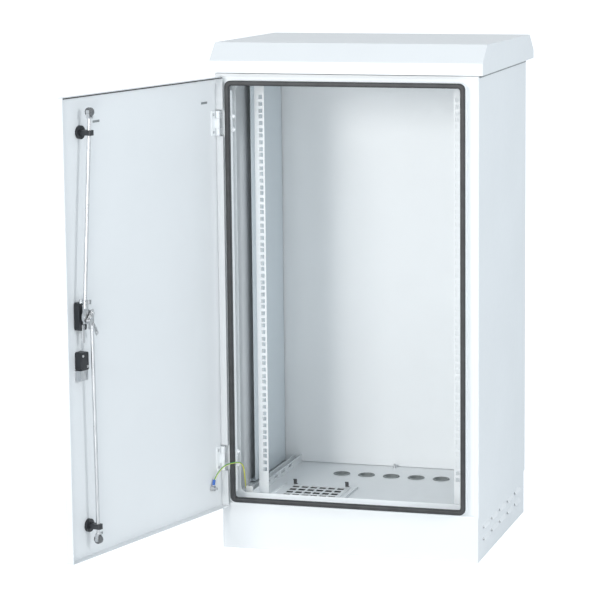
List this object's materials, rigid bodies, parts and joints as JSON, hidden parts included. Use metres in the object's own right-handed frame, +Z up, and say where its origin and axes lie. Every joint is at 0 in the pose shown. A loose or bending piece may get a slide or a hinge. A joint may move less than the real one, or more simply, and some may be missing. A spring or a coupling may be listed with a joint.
{
  "type": "roadside utility cabinet",
  "caption": "Roadside utility cabinet, 612 mm wide, with its door open on a 20-unit rack frame, on a louvred plinth under a roof cover.",
  "frame": {"origin": "middle of the anchor holes' rectangle on the plinth's underside", "axes": "+Z up, -Y towards the front (door opening), +X to the right seen from the front"},
  "size_m": [0.7846, 1.1409, 1.173],
  "materials": {
    "light_grey_coat": "fine textured powder coat",
    "inner_coat": "smooth powder coat",
    "zinc_steel": "zinc plated",
    "black_plastic": "matt moulded",
    "white_plastic": "smooth moulded",
    "grey_rubber": "matt",
    "black_rubber": "matt",
    "black_coat": "fine textured powder coat",
    "grille_plastic": "matt moulded",
    "tinned_copper": "tinned",
    "wire_sheath": "striped insulation"
  },
  "bodies": {
    "cabinet": {"cable_grommets": "grey_rubber", "depth_bar_lower_left": "zinc_steel", "depth_bar_lower_right": "zinc_steel", "depth_bar_upper_left": "zinc_steel", "depth_bar_upper_right": "zinc_steel", "door_gasket": "black_rubber", "earth_lug_cabinet": "tinned_copper", "earth_stud_cabinet": "zinc_steel", "earth_wire": "wire_sheath", "filter_clips": "grille_plastic", "filter_rails": "grille_plastic", "floor_grille": "grille_plastic", "floor_panel": "inner_coat", "floor_stud": "zinc_steel", "front_frame": "inner_coat", "hinge_leaf_lower": "light_grey_coat", "hinge_leaf_upper": "light_grey_coat", "hinge_pins": "zinc_steel", "inner_frame": "inner_coat", "plinth_bolts": "zinc_steel", "plinth_corners": "zinc_steel", "plinth_front_panel": "light_grey_coat", "plinth_rear_panel": "light_grey_coat", "plinth_side_panel_left": "light_grey_coat", "plinth_side_panel_right": "light_grey_coat", "rack_rail_left": "zinc_steel", "rack_rail_right": "zinc_steel", "rail_bolts": "zinc_steel", "rear_liner": "inner_coat", "rear_panel": "light_grey_coat", "roof_bolts": "zinc_steel", "roof_cover": "light_grey_coat", "roof_spacers": "zinc_steel", "side_liner_left": "inner_coat", "side_liner_right": "inner_coat", "side_panel_left": "light_grey_coat", "side_panel_right": "light_grey_coat", "top_panel": "light_grey_coat"},
    "door": {"door_panel": "light_grey_coat", "hinge_plate_lower": "light_grey_coat", "hinge_plate_upper": "light_grey_coat", "lock_case": "black_plastic", "cylinder_housing": "black_plastic", "housing_bracket": "zinc_steel", "handle_plate": "black_coat", "rod_guides": "black_plastic", "earth_stud_door": "zinc_steel", "earth_lug_door": "tinned_copper"},
    "handle_hub": {"handle_hub": "black_coat", "lock_cam": "zinc_steel", "lever_pin": "zinc_steel"},
    "handle_lever": {"handle_lever": "black_coat"},
    "lock_barrel": {"lock_barrel": "zinc_steel"},
    "upper_rod": {"lock_rod_upper": "zinc_steel", "roller_pin_upper": "zinc_steel"},
    "lower_rod": {"lock_rod_lower": "zinc_steel", "roller_pin_lower": "zinc_steel"},
    "upper_roller": {"roller_upper": "white_plastic"},
    "lower_roller": {"roller_lower": "white_plastic"}
  },
  "joints": [
    {"name": "door_hinge", "type": "hinge", "parent": "cabinet", "child": "door", "pos_m": [-0.296, -0.267, 0.6], "axis": [0, 0, 1], "range_deg": [-15, 105], "deforming": ["earth_wire"]},
    {"name": "handle_turn", "type": "hinge", "parent": "door", "child": "handle_hub", "pos_m": [-0.42269, -0.79003, 0.63], "axis": [-0.9659, 0.2588, 0], "range_deg": [0, 90]},
    {"name": "handle_lift", "type": "hinge", "parent": "handle_hub", "child": "handle_lever", "pos_m": [-0.45221, -0.75727, 0.63], "axis": [0, 0, 1], "range_deg": [0, 25]},
    {"name": "barrel_turn", "type": "hinge", "parent": "door", "child": "lock_barrel", "pos_m": [-0.44201, -0.78486, 0.534], "axis": [-0.9659, 0.2588, 0], "range_deg": [0, 90]},
    {"name": "upper_rod_slide", "type": "slide", "parent": "door", "child": "upper_rod", "axis": [0.0206, 0.0769, 0.9968], "range_m": [0, 0.014]},
    {"name": "upper_roller_spin", "type": "hinge", "parent": "upper_rod", "child": "upper_roller", "pos_m": [-0.41242, -0.77104, 1.0625], "axis": [-0.258, -0.9629, 0.0796], "continuous": true},
    {"name": "lower_rod_slide", "type": "slide", "parent": "door", "child": "lower_rod", "axis": [0.0033, 0.0124, -0.9999], "range_m": [0, 0.014]},
    {"name": "lower_roller_spin", "type": "hinge", "parent": "lower_rod", "child": "lower_roller", "pos_m": [-0.4132, -0.77394, 0.1415], "axis": [-0.2588, -0.9658, -0.0128], "continuous": true}
  ],
  "couplings": [
    {"joint": "upper_rod_slide", "follows": "handle_turn", "m_per_rad": 0.0089127},
    {"joint": "lower_rod_slide", "follows": "handle_turn", "m_per_rad": 0.0089127}
  ]
}
